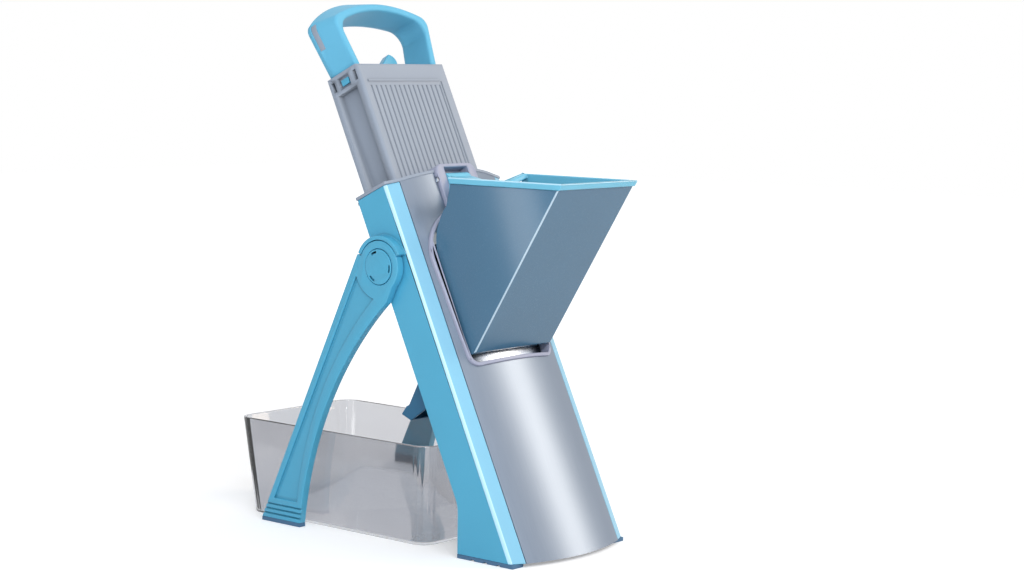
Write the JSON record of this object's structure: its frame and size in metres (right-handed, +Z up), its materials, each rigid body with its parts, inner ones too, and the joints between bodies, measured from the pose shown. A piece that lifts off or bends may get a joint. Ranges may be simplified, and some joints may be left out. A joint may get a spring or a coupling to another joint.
{
  "type": "mandoline slicer",
  "caption": "Upright kitchen mandoline: a leaning body on folding legs, a hinged feed chute, a spring-returned slider with a loop handle and blade, thickness and strip dials, and a catch bin.",
  "frame": {"origin": "middle of the footprint, on the ground the slicer stands on", "axes": "+Z up; the chute faces -Y and the legs and the bin lie towards +Y; +X is the side with the dials"},
  "size_m": [0.1422, 0.3064, 0.3933],
  "materials": {
    "blue_plastic": "satin",
    "silver_panel": "metallic silver paint",
    "bezel_grey": "satin",
    "slate_plastic": "satin",
    "pale_blue_plastic": "satin",
    "grey_plastic": "satin",
    "dark_plastic": "matte",
    "steel": "ground",
    "rubber": "matte",
    "clear_plastic": "clear, faint smoke tint"
  },
  "bodies": {
    "body": {"side_panel_left": "blue_plastic", "side_panel_right": "blue_plastic", "front_panel": "silver_panel", "opening_bezel": "bezel_grey", "feed_lip": "steel", "chute_bracket": "bezel_grey", "chute_hinge_pin": "steel", "top_collar": "grey_plastic", "base_plate": "dark_plastic", "foot_pad_left": "rubber", "foot_pad_right": "rubber", "inner_guide_left": "dark_plastic", "inner_guide_right": "dark_plastic", "rear_housing": "dark_plastic", "spring_rod_left": "steel", "spring_rod_right": "steel", "return_spring_left": "steel", "return_spring_right": "steel", "discharge_hood": "slate_plastic", "pivot_cap_left": "blue_plastic", "pivot_cap_right": "blue_plastic"},
    "slider": {"slider_frame": "grey_plastic", "handle": "blue_plastic", "handle_stripes": "grey_plastic", "handle_latches": "blue_plastic", "slicing_blade": "steel"},
    "lock": {"lock_tab": "blue_plastic"},
    "chute": {"chute_shell": "slate_plastic", "chute_liner": "pale_blue_plastic"},
    "left_leg": {"leg_left": "blue_plastic", "leg_pad_left": "rubber"},
    "right_leg": {"leg_right": "blue_plastic", "leg_pad_right": "rubber"},
    "thickness_knob": {"thickness_dial": "blue_plastic", "thickness_crank": "dark_plastic"},
    "thickness_shifter": {"thickness_rail": "dark_plastic"},
    "thickness_bed": {"thickness_plate": "steel"},
    "strip_knob": {"strip_dial": "blue_plastic", "strip_crank": "dark_plastic"},
    "strip_shifter": {"strip_rail": "dark_plastic"},
    "strip_cutters": {"strip_comb": "grey_plastic"},
    "bin": {"catch_bin": "clear_plastic"}
  },
  "joints": [
    {"name": "slider_press", "type": "slide", "parent": "body", "child": "slider", "axis": [0, -0.4305, -0.9026], "range_m": [0, 0.09], "stiffness_N_per_m": 150, "springref_m": -0.06, "deforming": ["return_spring_left", "return_spring_right"]},
    {"name": "lock_slide", "type": "slide", "parent": "slider", "child": "lock", "axis": [1, 0, 0], "range_m": [0, 0.006]},
    {"name": "chute_hinge", "type": "hinge", "parent": "body", "child": "chute", "pos_m": [0, -0.0173, 0.26476], "axis": [-1, 0, 0], "range_deg": [0, 60]},
    {"name": "left_leg_fold", "type": "hinge", "parent": "body", "child": "left_leg", "pos_m": [-0.0675, -0.00636, 0.20338], "axis": [-1, 0, 0], "range_deg": [0, 49]},
    {"name": "right_leg_fold", "type": "hinge", "parent": "body", "child": "right_leg", "pos_m": [0.0675, -0.00636, 0.20338], "axis": [-1, 0, 0], "range_deg": [0, 49]},
    {"name": "thickness_turn", "type": "hinge", "parent": "body", "child": "thickness_knob", "pos_m": [0.06, -0.07042, 0.09067], "axis": [-1, 0, 0], "range_deg": [-45, 45]},
    {"name": "thickness_shift", "type": "slide", "parent": "body", "child": "thickness_shifter", "axis": [0, 0.9026, -0.4305], "range_m": [-0.004, 0.004]},
    {"name": "thickness_bed_move", "type": "slide", "parent": "slider", "child": "thickness_bed", "axis": [0, 0.9026, -0.4305], "range_m": [-0.004, 0.004]},
    {"name": "strip_turn", "type": "hinge", "parent": "body", "child": "strip_knob", "pos_m": [0.06, -0.03598, 0.16288], "axis": [-1, 0, 0], "range_deg": [0, 90]},
    {"name": "strip_shift", "type": "slide", "parent": "body", "child": "strip_shifter", "axis": [0, 0.9026, -0.4305], "range_m": [0, 0.005]},
    {"name": "strip_comb_move", "type": "slide", "parent": "slider", "child": "strip_cutters", "axis": [0, 0.9026, -0.4305], "range_m": [0, 0.005]},
    {"name": "bin_pull", "type": "slide", "parent": "body", "child": "bin", "axis": [0, 1, 0], "range_m": [0, 0.15]}
  ],
  "couplings": [
    {"joint": "thickness_turn", "follows": "thickness_bed_move", "rad_per_m": 196.35},
    {"joint": "thickness_shift", "follows": "thickness_bed_move", "ratio": 1},
    {"joint": "strip_turn", "follows": "strip_shift", "rad_per_m": 314.16},
    {"joint": "strip_comb_move", "follows": "strip_shift", "ratio": 1}
  ]
}
